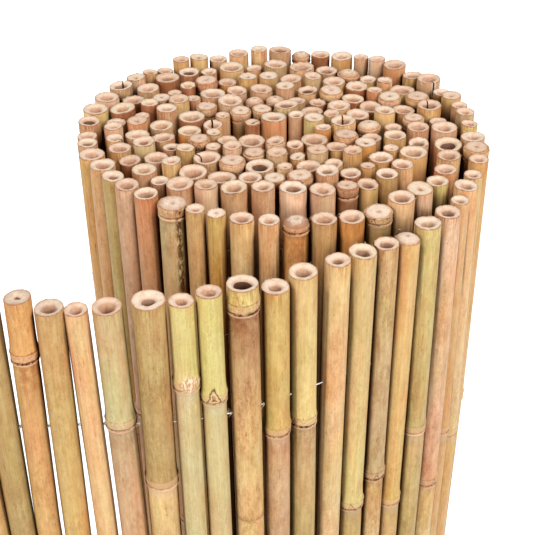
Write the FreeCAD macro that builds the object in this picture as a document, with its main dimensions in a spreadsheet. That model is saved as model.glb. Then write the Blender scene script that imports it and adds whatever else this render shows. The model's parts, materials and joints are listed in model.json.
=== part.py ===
import FreeCAD, Part
import math
import os
import random

import Sketcher
from FreeCAD import Placement, Rotation, Vector

# Bamboo fence panel: whole canes threaded on four galvanised wires, stood on end and rolled up,
# with its outer end unrolled to the left. Millimetres, +Z up, the floor at z = 0.

# Driving dimensions that all canes and wires share
SHARED_SIZES = {
    "cane_height": 1000,
    "node_rise": 0.5,
    "node_half_width": 3,
    "diaphragm_thickness": 4,
    "wire_diameter": 1,
    "hole_clearance": 0.4,
    "top_wire_depth": 100,
    "wire_spacing": 273,
    "wire_stub": 12,
    "cane_clearance": 0.4,
    "turn_pitch": 18.6,
    "roll_reach_right": 146,
    "roll_reach_left": 144,
    "roll_reach_back": 131,
    "roll_reach_front": 139,
    "back_slack": 7.5,
    "front_slack": 19,
    "front_corner_radius": 100,
    "side_flat": 20,
    "core_half_length": 34,
    "core_row_offset": -2,
    "tail_straight": 198,
    "tail_bend_radius": 90,
    "slope_straight": 118,
    "slope_bend_radius": 118,
    "side_straight": 54,
    "tail_angle": 3,
    "slope_angle": 31,
}

# Canes that are seen from the front, in the order that the wires thread them.
# Each row is: diameter, bore, depth of the first node, drop of the top, gap to the next cane.
TAIL_CANES = [
    (15.8, 7.0, 130, 3.0, 0.5),
    (17.6, 8.0, 210, 1.5, 0.3),
    (14.6, 6.0, 72, 4.0, 0.8),
    (16.8, 7.5, 225, 2.0, 0.4),
    (17.5, 8.0, 240, 4.0, 0.4),
    (16.3, 2.4, 39, 3.0, 0.3),
    (17.7, 8.6, 215, 3.0, 0.3),
    (14.5, 6.8, 240, 8.0, 0.6),
    (18.0, 9.6, 91.5, 6.0, 3.6),
    (20.3, 7.6, 147.5, 2.5, 0.3),
    (15.9, 6.6, 65, 4.5, 0.3),
    (16.0, 7.4, 80, 3.0, 2.8),
    (19.6, 10.6, 17, 0.0, 1.2),
    (17.6, 7.0, 116, 9.0, 0.6),
    (18.0, 8.6, 121, 4.5, 7.2),
    (16.4, 6.2, 262, 4.0, 0.3),
    (17.9, 8.4, 223, 4.0, 0.3),
    (16.1, 8.2, 202, 5.0, 0.3),
    (16.3, 2.0, 239, 5.0, 0.3),
    (17.6, 8.0, 178, 3.0, 3.2),
    (17.2, 8.2, 246, 4.0, 2.4),
    (12.4, 4.6, 207, 4.0, 3.4),
    (16.8, 7.6, 226, 2.0, 3.8),
    (12.8, 5.0, 184, 4.5, 3.6),
    (14.2, 5.4, 220, 2.0, 2.6),
]
OUTER_FRONT_CANES = [
    (14.8, 6.8, 160, 3.0, 2.6),
    (18.8, 8.0, 190, 2.0, 0.3),
    (18.2, 9.0, 214, 0.5, 0.3),
    (15.4, 6.0, 236, 0.5, 0.3),
    (16.6, 8.2, 205, 0.0, 0.4),
    (16.4, 9.6, 186, 0.0, 4.0),
    (18.8, 2.4, 7, 1.0, 0.4),
    (13.3, 3.4, 150, 1.0, 0.4),
    (12.6, 1.8, 152, 1.5, 1.8),
    (16.4, 8.0, 198, 3.5, 2.2),
    (14.4, 5.6, 172, 4.0, 0.4),
    (17.0, 2.2, 7, 3.0, 0.8),
    (17.1, 9.0, 224, 4.0, 0.3),
    (17.1, 8.8, 180, 4.5, 0.8),
    (17.9, 2.2, 6, 4.0, 0.8),
    (18.2, 9.8, 150, 0.0, 1.6),
    (17.9, 3.0, 240, 1.0, 2.4),
    (15.4, 7.0, 120, 5.0, 2.0),
]

# Cane sizes that the rest of the roll is drawn from: diameter, bore, first node, drop of the top
STOCK_CANES = [
    (11.2, 3.4, 88, 5.5),
    (12.4, 5.0, 174, 3.0),
    (13.2, 5.8, 58, 6.5),
    (13.9, 4.4, 220, 1.0),
    (14.5, 1.8, 7, 4.0),
    (15.0, 7.4, 130, 7.0),
    (15.4, 3.0, 202, 2.0),
    (15.8, 8.0, 66, 5.0),
    (16.2, 6.4, 150, 0.5),
    (16.6, 8.8, 236, 3.5),
    (17.0, 2.0, 8, 2.5),
    (17.5, 9.0, 110, 6.0),
    (18.0, 7.0, 190, 4.5),
    (18.6, 9.6, 46, 1.5),
    (19.4, 8.4, 210, 3.0),
    (20.2, 11.0, 160, 5.0),
]
OUTER_BACK_COUNT = 29
FOOT_NODE_HEIGHTS = (92, 118, 66, 140, 104)
STOCK_GAPS = (0.3, 0.4, 0.6, 0.9, 1.5, 3.0)
SEED = 7

WIRE_NAMES = ("top_wire", "upper_wire", "lower_wire", "bottom_wire")
TURN_NAMES = ("second_turn", "third_turn", "fourth_turn", "fifth_turn", "sixth_turn", "core")
SETTLE_PASSES = 400
CLEARING_PASSES = 80

doc = FreeCAD.newDocument("bamboo_fence_panel")
sheet = doc.addObject("Spreadsheet::Sheet", "Sizes")


def write_size(row, alias, value):
    sheet.set(f"A{row}", alias)
    sheet.set(f"B{row}", str(value))
    sheet.setAlias(f"B{row}", alias)
    return row + 1


def cane_names(prefix, rows):
    return [f"{prefix}_{index:02d}" for index in range(1, len(rows) + 1)]


def write_sheet():
    row = 1
    for alias, value in SHARED_SIZES.items():
        row = write_size(row, alias, value)
    cane_number = 0
    tables = (("tail_cane", TAIL_CANES), ("outer_turn_cane", OUTER_FRONT_CANES), ("stock", STOCK_CANES))
    for prefix, rows in tables:
        for name, values in zip(cane_names(prefix, rows), rows):
            for quantity, value in zip(("diameter", "bore", "first_node", "drop", "gap"), values):
                row = write_size(row, f"{name}_{quantity}", value)
            foot = FOOT_NODE_HEIGHTS[cane_number % len(FOOT_NODE_HEIGHTS)]
            row = write_size(row, f"{name}_foot_node", foot)
            cane_number += 1
    doc.recompute()


def size(alias):
    return float(sheet.get(alias))


# Plan of the roll: the line that the wires follow, seen from above, in the roll's own axes.
# It runs inwards, so it turns left all the way, from the free end of the panel to the core.

class PlanLine:
    def __init__(self, start, heading):
        self.point = start
        self.heading = heading
        self.edges = []

    def direction(self, angle):
        return Vector(math.cos(math.radians(angle)), math.sin(math.radians(angle)), 0)

    def straight(self, length):
        if length > 0.01:
            end = self.point + self.direction(self.heading) * length
            self.edges.append(Part.LineSegment(self.point, end).toShape())
            self.point = end

    def bend(self, radius, turn):
        centre = self.point + self.direction(self.heading + 90) * radius
        middle = centre + self.direction(self.heading - 90 + turn / 2) * radius
        end = centre + self.direction(self.heading - 90 + turn) * radius
        self.edges.append(Part.Arc(self.point, middle, end).toShape())
        self.point = end
        self.heading += turn


def side_reaches():
    """Distances of each turn from the middle of the roll: right, back, left, front."""
    pitch = size("turn_pitch")
    turns = []
    for turn in range(len(TURN_NAMES)):
        turns.append((
            size("roll_reach_right") - turn * pitch,
            size("roll_reach_back") - turn * pitch - min(turn, 2) * size("back_slack"),
            size("roll_reach_left") - turn * pitch,
            size("roll_reach_front") - turn * pitch - min(turn, 1) * size("front_slack"),
        ))
    return turns


def draw_tail(line):
    tail_angle = size("tail_angle")
    slope_angle = size("slope_angle")
    line.straight(size("tail_straight"))
    line.bend(size("tail_bend_radius"), slope_angle - tail_angle)
    line.straight(size("slope_straight"))
    line.bend(size("slope_bend_radius"), 90 - slope_angle)
    line.straight(size("side_straight"))


def draw_roll(line):
    """Half turns: each is a half circle at one end of the flat core, joined by straights."""
    lengths = []
    turns = side_reaches()
    core_row = size("core_row_offset")
    for number, (right, back, left, front) in enumerate(turns):
        if number == 0:
            line.bend(back, 90)
        elif number == 1:
            corner = size("front_corner_radius")
            line.straight(right - corner - line.point.x)
            line.bend(corner, 90)
            line.straight(size("side_flat"))
            line.bend(back - line.point.y, 90)
        else:
            radius = (last_front + back) / 2
            line.straight(right - radius - line.point.x)
            line.bend(radius, 180)
        half = (back + front) / 2
        line.straight(line.point.x - (half - left))
        line.bend(half, 180)
        last_front = front
        lengths.append(sum(edge.Length for edge in line.edges))
    radius = (last_front - core_row) / 2
    line.straight(size("core_half_length") - line.point.x)
    line.bend(radius, 180)
    line.straight(line.point.x + size("core_half_length"))
    return lengths


def plan_points(step=0.5):
    """Close points along the plan line, with the roll's middle at x = y = 0."""
    line = PlanLine(Vector(0, 0, 0), size("tail_angle"))
    draw_tail(line)
    shift = Vector(size("roll_reach_right"), 0, 0) - line.point
    tail_edges = [edge.translated(shift) for edge in line.edges]
    roll = PlanLine(Vector(size("roll_reach_right"), 0, 0), 90)
    turn_ends = draw_roll(roll)
    tail_length = sum(edge.Length for edge in tail_edges)
    wire = Part.Wire(tail_edges + roll.edges)
    points = wire.discretize(Distance=step)
    return points, [tail_length + end for end in turn_ends]


# Canes on the line: each cane is a link, as long as it is wide over its node rings and half of
# the gap on either side.

def cane_row(name, gap):
    return {"name": name, "diameter": size(f"{name}_diameter"), "gap": gap}


def draw_cane_order(line_length):
    """Canes from the free end to the core: two runs by name, the rest drawn from the stock."""
    rng = random.Random(SEED)
    stock = cane_names("stock", STOCK_CANES)
    order = [cane_row(name, size(f"{name}_gap")) for name in cane_names("tail_cane", TAIL_CANES)]
    order += [cane_row(rng.choice(stock), rng.choice(STOCK_GAPS)) for _ in range(OUTER_BACK_COUNT)]
    outer_names = cane_names("outer_turn_cane", OUTER_FRONT_CANES)
    order += [cane_row(name, size(f"{name}_gap")) for name in outer_names]
    rings = 2 * size("node_rise")
    used = sum(cane["diameter"] + rings + cane["gap"] for cane in order)
    while used < line_length:
        cane = cane_row(rng.choice(stock), rng.choice(STOCK_GAPS))
        used += cane["diameter"] + rings + cane["gap"]
        order.append(cane)
    return order


def walk(points, lengths):
    """Joints of a chain laid along the points, with its links as chords of the given lengths."""
    joints = [points[0]]
    stations = [0.0]
    index = 0
    travelled = 0.0
    for length in lengths:
        while index < len(points) - 1 and (points[index] - joints[-1]).Length < length:
            travelled += (points[index + 1] - points[index]).Length
            index += 1
        if (points[index] - joints[-1]).Length < length - 1:
            break
        joints.append(points[index])
        stations.append(travelled)
    return joints, stations


def settle(joints, lengths, radii):
    """Push canes that would overlap apart, with the links kept at their lengths until the end."""
    clearance = size("cane_clearance")
    middles = [(a + b) * 0.5 for a, b in zip(joints, joints[1:])]
    count = len(middles)
    near = 3 * max(radii)
    pairs = [(i, j) for i in range(count) for j in range(i + 1, count)
             if (middles[i] - middles[j]).Length < near]
    for number in range(SETTLE_PASSES + CLEARING_PASSES):
        for i, j in pairs:
            apart = (joints[i] + joints[i + 1] - joints[j] - joints[j + 1]) * 0.5
            short = radii[i] + radii[j] + clearance - apart.Length
            if short > 0:
                push = apart.normalize() * (short / 2)
                joints[i] += push
                joints[i + 1] += push
                joints[j] -= push
                joints[j + 1] -= push
        for i in range(count if number < SETTLE_PASSES else 0):
            link = joints[i + 1] - joints[i]
            pull = link * ((link.Length - lengths[i]) / link.Length / 2)
            joints[i] += pull
            joints[i + 1] -= pull
    return joints


def lay_out():
    points, turn_ends = plan_points()
    line_length = sum((b - a).Length for a, b in zip(points, points[1:]))
    order = draw_cane_order(line_length)
    gaps = [order[0]["gap"]] + [cane["gap"] for cane in order]
    widths = [cane["diameter"] + 2 * size("node_rise") for cane in order]
    lengths = [width + (before + after) / 2
               for width, before, after in zip(widths, gaps, gaps[1:])]
    joints, stations = walk(points, lengths)
    order = order[:len(joints) - 1]
    joints = settle(joints, lengths, [width / 2 for width in widths])
    for cane, start, end, station in zip(order, joints, joints[1:], stations):
        cane["middle"] = (start + end) * 0.5
        cane["angle"] = math.degrees(math.atan2(end.y - start.y, end.x - start.x))
        cane["turn"] = sum(station >= turn_end for turn_end in turn_ends)
    return order, joints


# One cane: a turned stem with four nodes, open at each end as far as the first diaphragm,
# drilled across for the wires.

def origin_plane(body, role):
    return next(plane for plane in body.Origin.OriginFeatures if plane.Role == role)


def closed_section(sketch, corners):
    """Closed polygon whose corners are bound to expressions; None keeps a corner on the axis."""
    count = len(corners)
    values = [[0 if text is None else sketch.evalExpression(text) for text in corner]
              for corner in corners]
    for index in range(count):
        start = Vector(*values[index], 0)
        end = Vector(*values[(index + 1) % count], 0)
        sketch.addGeometry(Part.LineSegment(start, end), False)
    for index in range(count):
        sketch.addConstraint(Sketcher.Constraint("Coincident", index, 2, (index + 1) % count, 1))
    for index, corner in enumerate(corners):
        for kind, axis, text, value in zip(("DistanceX", "DistanceY"), (-2, -1), corner, values[index]):
            if text is None:
                sketch.addConstraint(Sketcher.Constraint("PointOnObject", index, 1, axis))
            else:
                number = sketch.addConstraint(Sketcher.Constraint(kind, -1, 1, index, 1, value))
                sketch.setExpression(f"Constraints[{number}]", text)


def stem_corners(name):
    stem = f"Sizes.{name}_diameter / 2"
    ridge = f"{stem} + Sizes.node_rise"
    bore = f"Sizes.{name}_bore / 2"
    top = f"Sizes.cane_height - Sizes.{name}_drop"
    foot = f"Sizes.{name}_foot_node"
    first = f"{top} - Sizes.{name}_first_node"
    floor = f"{first} + Sizes.diaphragm_thickness / 2"
    ceiling = f"{foot} - Sizes.diaphragm_thickness / 2"
    corners = [(None, ceiling), (bore, ceiling), (bore, None), (stem, None)]
    for share in range(4):
        node = f"{foot} + ({first} - {foot}) * {share} / 3"
        corners.append((stem, f"{node} - Sizes.node_half_width"))
        corners.append((ridge, node))
        corners.append((stem, f"{node} + Sizes.node_half_width"))
    corners += [(stem, top), (bore, top), (bore, floor), (None, floor)]
    return corners


def drill_holes(body, name):
    sketch = body.newObject("Sketcher::SketchObject", f"{name}_wire_holes")
    sketch.AttachmentSupport = [(origin_plane(body, "YZ_Plane"), "")]
    sketch.MapMode = "FlatFace"
    for number in range(len(WIRE_NAMES)):
        height = f"Sizes.cane_height - Sizes.top_wire_depth - {number} * Sizes.wire_spacing"
        bore = "Sizes.wire_diameter + 2 * Sizes.hole_clearance"
        centre = Vector(0, sketch.evalExpression(height), 0)
        radius = sketch.evalExpression(bore) / 2
        circle = sketch.addGeometry(Part.Circle(centre, Vector(0, 0, 1), radius), False)
        sketch.addConstraint(Sketcher.Constraint("PointOnObject", circle, 3, -2))
        level = sketch.addConstraint(Sketcher.Constraint("DistanceY", -1, 1, circle, 3, centre.y))
        sketch.setExpression(f"Constraints[{level}]", height)
        width = sketch.addConstraint(Sketcher.Constraint("Diameter", circle, 2 * radius))
        sketch.setExpression(f"Constraints[{width}]", bore)
    drilling = body.newObject("PartDesign::Pocket", f"{name}_drilling")
    drilling.Profile = sketch
    drilling.Type = "Length"
    drilling.SideType = "Symmetric"
    drilling.setExpression("Length", f"2 * Sizes.{name}_diameter")


def make_cane(name):
    body = doc.addObject("PartDesign::Body", name)
    body.Label = name
    section = body.newObject("Sketcher::SketchObject", f"{name}_section")
    section.AttachmentSupport = [(origin_plane(body, "XZ_Plane"), "")]
    section.MapMode = "FlatFace"
    closed_section(section, stem_corners(name))
    stem = body.newObject("PartDesign::Revolution", f"{name}_stem")
    stem.Profile = section
    stem.ReferenceAxis = (section, ["V_Axis"])
    stem.Angle = 360
    drill_holes(body, name)
    return body


def upright(cane):
    return Placement(cane["middle"], Rotation(Vector(0, 0, 1), cane["angle"]))


def place_named_canes(order):
    nodes = []
    for cane in order:
        if not cane["name"].startswith("stock"):
            body = make_cane(cane["name"])
            body.Placement = upright(cane)
            nodes.append(body)
    return nodes


def group_name(cane, index):
    first_outer = len(TAIL_CANES)
    last_outer = first_outer + OUTER_BACK_COUNT
    if index < first_outer + OUTER_BACK_COUNT / 2:
        return "outer_turn_right_canes"
    if index < last_outer:
        return "outer_turn_left_canes"
    return f"{TURN_NAMES[min(max(cane['turn'], 1), len(TURN_NAMES)) - 1]}_canes"


def place_stock_canes(order):
    stock = {name: make_cane(name) for name in cane_names("stock", STOCK_CANES)}
    groups = {}
    for index, cane in enumerate(order):
        if cane["name"] in stock:
            link = doc.addObject("App::Link", f"cane_{index:03d}")
            link.LinkedObject = stock[cane["name"]]
            link.LinkTransform = False
            link.Placement = upright(cane)
            groups.setdefault(group_name(cane, index), []).append(link)
    nodes = []
    for name, links in groups.items():
        group = doc.addObject("Part::Compound", name)
        group.Label = name
        group.Links = links
        nodes.append(group)
    return nodes


# Wires: one bend in each gap, straight through each cane

def make_wires(joints):
    stub = size("wire_stub")
    first = joints[0] + (joints[0] - joints[1]).normalize() * stub
    last = joints[-1] + (joints[-1] - joints[-2]).normalize() * (stub / 2)
    path = Part.makePolygon([first] + joints[1:-1] + [last])
    circle = Part.makeCircle(size("wire_diameter") / 2, first, joints[1] - first)
    mitred = 1
    shape = path.makePipeShell([Part.Wire(circle)], True, False, mitred)
    nodes = []
    for number, name in enumerate(WIRE_NAMES):
        wire = doc.addObject("Part::Feature", name)
        wire.Label = name
        wire.Shape = shape
        height = size("cane_height") - size("top_wire_depth") - number * size("wire_spacing")
        wire.Placement = Placement(Vector(0, 0, height), Rotation())
        nodes.append(wire)
    return nodes


def centre_on_origin(order, joints):
    """Shift the plan so that the middle of the whole panel's box is at x = y = 0."""
    rise = size("node_rise")
    spans = [(cane["middle"], cane["diameter"] / 2 + rise) for cane in order]
    free_end = joints[0] + (joints[0] - joints[1]).normalize() * size("wire_stub")
    spans.append((free_end, 0))
    left = min(point.x - reach for point, reach in spans)
    right = max(point.x + reach for point, reach in spans)
    front = min(point.y - reach for point, reach in spans)
    back = max(point.y + reach for point, reach in spans)
    shift = Vector((left + right) / 2, (front + back) / 2, 0)
    for cane in order:
        cane["middle"] = cane["middle"] - shift
    return order, [joint - shift for joint in joints]


def check_and_write(nodes):
    failed = [item.Label for item in doc.Objects if {"Invalid", "Error"} & set(item.State)]
    failed += [node.Label for node in nodes if node.Shape.isNull() or not node.Shape.isValid()]
    if failed:
        raise RuntimeError("these objects failed: " + ", ".join(failed))
    os.makedirs("parts", exist_ok=True)
    for node in nodes:
        node.Shape.exportStep(f"parts/{node.Label}.step")


write_sheet()
cane_order, wire_joints = centre_on_origin(*lay_out())
all_nodes = place_named_canes(cane_order)
all_nodes += place_stock_canes(cane_order)
all_nodes += make_wires(wire_joints)
doc.recompute()
check_and_write(all_nodes)
print(len(cane_order), "canes in", len(all_nodes), "nodes")
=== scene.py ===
import json
import math
import random
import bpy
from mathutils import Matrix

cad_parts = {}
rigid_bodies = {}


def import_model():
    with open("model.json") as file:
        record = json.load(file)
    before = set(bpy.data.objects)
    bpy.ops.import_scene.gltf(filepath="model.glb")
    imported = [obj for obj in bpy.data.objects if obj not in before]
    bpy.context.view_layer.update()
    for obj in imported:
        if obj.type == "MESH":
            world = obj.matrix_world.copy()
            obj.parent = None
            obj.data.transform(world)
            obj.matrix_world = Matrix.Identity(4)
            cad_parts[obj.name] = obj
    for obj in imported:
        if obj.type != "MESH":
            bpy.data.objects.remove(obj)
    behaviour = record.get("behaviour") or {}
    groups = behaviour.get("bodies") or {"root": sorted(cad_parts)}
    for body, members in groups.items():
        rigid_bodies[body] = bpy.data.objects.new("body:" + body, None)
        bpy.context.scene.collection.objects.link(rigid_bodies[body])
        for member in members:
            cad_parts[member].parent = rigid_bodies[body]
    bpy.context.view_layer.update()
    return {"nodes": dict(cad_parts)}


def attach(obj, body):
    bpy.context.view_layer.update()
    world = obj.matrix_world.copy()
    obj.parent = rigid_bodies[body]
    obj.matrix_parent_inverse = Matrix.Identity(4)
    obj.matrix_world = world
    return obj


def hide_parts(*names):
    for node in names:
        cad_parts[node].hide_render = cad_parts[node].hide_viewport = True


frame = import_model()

from types import SimpleNamespace

import bpy
import numpy as np
from bpy.props import FloatProperty, FloatVectorProperty, PointerProperty
from mathutils import Matrix, Vector

bl_info = {
    "name": "Bamboo Fence Panel",
    "version": (1, 0, 0),
    "blender": (4, 5, 0),
    "location": "View3D > Sidebar > Fence Panel",
    "description": "Dresses a rolled bamboo fence panel and sets a plain stage",
    "category": "Add Mesh",
}

MM = 0.001
WIRES = ("top_wire", "upper_wire", "lower_wire", "bottom_wire")
WIRE_LEVEL = 0.9
WIRE_SPACING = 0.273
SHOWN = ("tail_cane", "outer_turn")
SAMPLE = "tail_cane_10"

# The photo's camera: place, turns in degrees about Z, X and its own Z, focal length on its sensor
VIEWPOINT = (0.064, -0.703, 1.3852)
CAMERA_TURNS = (1.4425, 55.337, -0.61)
LENS = 75.06
SENSOR_WIDTH = 36.0

# Lamps: place, width, and which setting has the power
LAMPS = {
    "key_lamp": ((1.3, -1.5, 2.6), 1.5, "key_power"),
    "fill_lamp": ((-1.6, -2.2, 2.2), 1.8, "fill_power"),
    "back_lamp": ((-0.5, 2.6, 1.0), 1.8, "back_power"),
}
LAMP_TARGET = (0.02, 0.0, 0.9)
FLOOR_WIDTH = 24
FLOOR_MIDDLE = (0, 4, 0)

# Fine canes, then light ones: sides, rings above the first node, rings between nodes
SIDES = (32, 24)
TOP_ROWS = (4, 1)
STEM_ROWS = (5, 1)
SMOOTH_ANGLE = math.radians(38)
RING_STEP = 0.02 * MM

# How far the skin's tint takes to change below a node
TINT_REACH = 110 * MM
# Painted shade: how far a point looks for canes round it, and in which directions from straight
# out
SHOWN_SHADE_REACH = 110 * MM
HIDDEN_SHADE_REACH = 45 * MM
SHADE_TURNS = np.radians((-64, -32, 0, 32, 64))

TUFT_FIBRES = 6
FIBRE_TIP = 0.02 * MM
TUFT_CHANCE = 0.85
FRAYED_TUFTS = 9
USUAL_TUFTS = (0, 1, 1, 2, 3, 4)
TUFT_SEED = 3
FRAY_SEED = 11

# Cane skin colours, as they look in daylight (sRGB)
SKINS = {
    "cream": (0.92, 0.82, 0.63),
    "wheat": (0.92, 0.79, 0.57),
    "straw": (0.89, 0.78, 0.56),
    "sand": (0.86, 0.74, 0.54),
    "tan": (0.87, 0.72, 0.50),
    "honey": (0.88, 0.71, 0.47),
    "ochre": (0.81, 0.68, 0.47),
    "mustard": (0.86, 0.74, 0.47),
    "orange_tan": (0.91, 0.71, 0.46),
    "orange": (0.87, 0.63, 0.37),
    "gold": (0.88, 0.63, 0.31),
    "salmon": (0.89, 0.67, 0.49),
    "peach": (0.93, 0.77, 0.58),
    "pale_pink": (0.92, 0.78, 0.65),
    "yellow": (0.92, 0.83, 0.56),
    "lime": (0.87, 0.81, 0.55),
    "green_yellow": (0.87, 0.80, 0.54),
    "khaki": (0.84, 0.76, 0.57),
    "olive": (0.78, 0.68, 0.46),
    "dark_olive": (0.74, 0.64, 0.43),
    "olive_green": (0.80, 0.72, 0.49),
    "grey_green": (0.83, 0.78, 0.59),
    "grey_tan": (0.82, 0.71, 0.55),
    "pink_tan": (0.87, 0.71, 0.56),
    "brown": (0.75, 0.59, 0.44),
    "red_brown": (0.68, 0.46, 0.32),
}

FRAYED = ("tail_cane_08", "tail_cane_15", "tail_cane_17", "outer_turn_cane_14")

# How the named canes look. Each row is: skin at the top, above the first node, below it and
# lower down, stain below the nodes, mottling, kind of end where it isn't open.
TAIL_LOOKS = (
    ("tan", "straw", "olive", "tan", 0.3, 0.4),
    ("straw", "honey", "peach", "straw", 0.2, 0.3),
    ("green_yellow", "straw", "khaki", "olive", 0.3, 0.3),
    ("peach", "tan", "straw", "tan", 0.2, 0.5),
    ("olive", "dark_olive", "tan", "olive", 0.3, 0.5),
    ("orange_tan", "orange_tan", "honey", "honey", 1.0, 0.5, "pith"),
    ("ochre", "mustard", "mustard", "mustard", 0.3, 0.5),
    ("peach", "wheat", "peach", "peach", 0.2, 0.3),
    ("khaki", "grey_green", "grey_tan", "pink_tan", 0.6, 0.5),
    ("olive", "dark_olive", "wheat", "dark_olive", 0.2, 0.8),
    ("lime", "lime", "grey_green", "grey_green", 0.3, 0.2),
    ("lime", "lime", "grey_green", "grey_green", 0.3, 0.2),
    ("yellow", "yellow", "brown", "wheat", 1.0, 0.9),
    ("mustard", "mustard", "pink_tan", "grey_tan", 0.5, 0.6),
    ("straw", "yellow", "khaki", "olive", 0.9, 0.4),
    ("wheat", "cream", "grey_tan", "khaki", 0.3, 0.5),
    ("sand", "green_yellow", "olive", "straw", 0.5, 0.4),
    ("sand", "grey_tan", "tan", "cream", 0.8, 1.0),
    ("tan", "mustard", "ochre", "ochre", 0.3, 0.4, "domed"),
    ("green_yellow", "olive_green", "sand", "olive_green", 0.4, 0.6),
    ("pale_pink", "pink_tan", "wheat", "khaki", 0.5, 0.7),
    ("peach", "honey", "tan", "straw", 0.3, 0.4),
    ("peach", "cream", "honey", "tan", 0.3, 0.4),
    ("straw", "tan", "tan", "peach", 0.3, 0.4),
    ("honey", "peach", "straw", "honey", 0.3, 0.4),
)
OUTER_LOOKS = (
    ("pink_tan", "tan", "tan", "straw", 0.3, 0.4),
    ("honey", "wheat", "tan", "straw", 0.3, 0.5),
    ("peach", "orange_tan", "olive", "tan", 0.3, 0.5),
    ("olive_green", "lime", "tan", "olive", 0.3, 0.4),
    ("pale_pink", "pink_tan", "brown", "tan", 0.3, 0.6),
    ("salmon", "pink_tan", "tan", "orange_tan", 0.3, 0.6),
    ("cream", "cream", "grey_green", "tan", 0.7, 0.6, "closed"),
    ("tan", "peach", "tan", "straw", 0.4, 0.6),
    ("mustard", "gold", "mustard", "straw", 0.4, 0.4, "closed"),
    ("wheat", "sand", "straw", "tan", 0.4, 0.5),
    ("peach", "wheat", "tan", "peach", 0.3, 0.5),
    ("brown", "orange_tan", "orange_tan", "orange_tan", 0.9, 0.6, "domed"),
    ("ochre", "grey_tan", "brown", "tan", 0.3, 0.5),
    ("orange", "orange_tan", "orange", "tan", 0.4, 0.5),
    ("cream", "khaki", "olive", "tan", 0.6, 0.5, "closed"),
    ("peach", "straw", "tan", "straw", 0.3, 0.4),
    ("pale_pink", "peach", "tan", "straw", 0.3, 0.6, "pith"),
    ("green_yellow", "pink_tan", "tan", "olive", 0.3, 0.5),
)
# Pairs of skins that the other canes are drawn from, commonest first
SKIN_PAIRS = (
    ("pink_tan", "peach"), ("pale_pink", "pink_tan"), ("tan", "honey"), ("grey_tan", "pink_tan"),
    ("wheat", "pink_tan"), ("peach", "salmon"), ("honey", "straw"), ("salmon", "brown"),
    ("yellow", "straw"), ("red_brown", "salmon"), ("green_yellow", "straw"), ("ochre", "tan"),
    ("orange", "orange_tan"), ("khaki", "straw"),
)
PAIR_WEIGHTS = (14, 12, 9, 9, 7, 7, 6, 5, 5, 4, 4, 3, 2, 2)
CUT_SHADES = (
    (1.0, 1.0, 1.0), (1.0, 0.95, 0.93), (1.0, 0.99, 0.94), (0.97, 0.90, 0.87), (0.92, 0.83, 0.78),
)
BORE_SHADES = (1.0, 1.0, 1.0, 0.9, 0.55)


def numbered(kind, rows):
    """Rows by the number of a cane, as rows by its node."""
    return {f"{kind}_{number:02d}": row for number, row in rows.items()}


# Named canes with a notable end: shade of the bore, paleness of the cut, brown crust round it
ENDS = numbered("tail_cane", {
    6: (0.3, 0.96, 0.3), 7: (0.8, 0.9, 0), 10: (0.5, 1.03, 0), 13: (0.0, 1.0, 0),
    14: (0.8, 1.04, 0), 19: (1.0, 0.98, 0.15),
}) | numbered("outer_turn_cane", {
    6: (0.8, 1.03, 0), 7: (1.0, 1.03, 0.35), 9: (1.0, 1.09, 0), 12: (1.0, 0.97, 0.9),
    15: (1.0, 1.06, 0.1),
})
LEAN_HEIGHTS = (0.45, 0.6, 0.8, 1.0)
LOW_LEAN_SHARE = 0.3
# Canes that lean along the panel: millimetres at the top, and 200 mm lower down
LEANS = numbered("tail_cane", {
    4: (0, -1.2), 5: (0, -2.4), 6: (1.8, -3.2), 7: (0.9, -2.2), 8: (-1.2, 0.6), 9: (-1.2, 0.9),
    10: (1.2, 0), 11: (0.3, 0.5), 12: (-0.8, -0.3), 13: (-0.5, 0.6), 14: (0, 0.9), 15: (-1.6, 0),
    16: (1.2, 0.3), 17: (0, -1.2), 19: (-0.3, -0.5), 20: (-1.2, 0.6), 21: (-0.8, 1.6),
    22: (-2.0, 1.0), 23: (-4.0, -0.2), 24: (-2.6, 0), 25: (0.4, 1.6),
}) | numbered("outer_turn_cane", {
    3: (1.4, 0), 7: (1.0, 0), 16: (-1.2, 0), 17: (-2.6, 0),
})
# Canes cut a little higher or lower than their solids, in millimetres
CUTS = {"tail_cane_06": 5.6, "tail_cane_07": -2.6, "tail_cane_12": 2.0}
# Buds at the first node of some canes: degrees round from the front, dark (1) or pale (-1), size
BUDS = numbered("tail_cane", {
    11: (14, -1.0, 2.3), 12: (0, 1.0, 1.8), 14: (58, 0.9, 0.8), 15: (-34, 1.0, 0.8),
    17: (8, 0.7, 1.0), 18: (22, 0.9, 0.9),
}) | numbered("outer_turn_cane", {
    15: (-24, 0.8, 1.2),
})
# Dark stains that run down one side of a cane: degrees round from the front, millimetres long
STREAKS = {"outer_turn_cane_07": (21, 150)}
# Split canes inside the roll: place in plan in millimetres, direction of the slit in degrees
SPLITS = (
    (-73, 113, 80), (-88, 36, -60), (-66, 27, -20), (5, 55, 100), (4, 0, 150), (35, 56, 20),
    (103, 52, 95), (171, 78, 100), (175, 125, -70),
)
# Dark bores, pale cuts and red canes inside the roll: what they change, and their places in plan
SPOTS = (
    ("bore_shade", 0.15, ((-20, 142), (-89, 54), (-24, 19), (77, 112), (42, -11), (179, 22))),
    ("cut_shade", (1.05, 1.06, 1.08), (
        (-5, 150), (-27, -30), (66, -47), (184, 110), (129, 3), (131, -23))),
    ("skins", ("red_brown", "red_brown", "brown", "pink_tan"), (
        (103, -39), (-67, 77), (-19, 116))),
)

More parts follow.
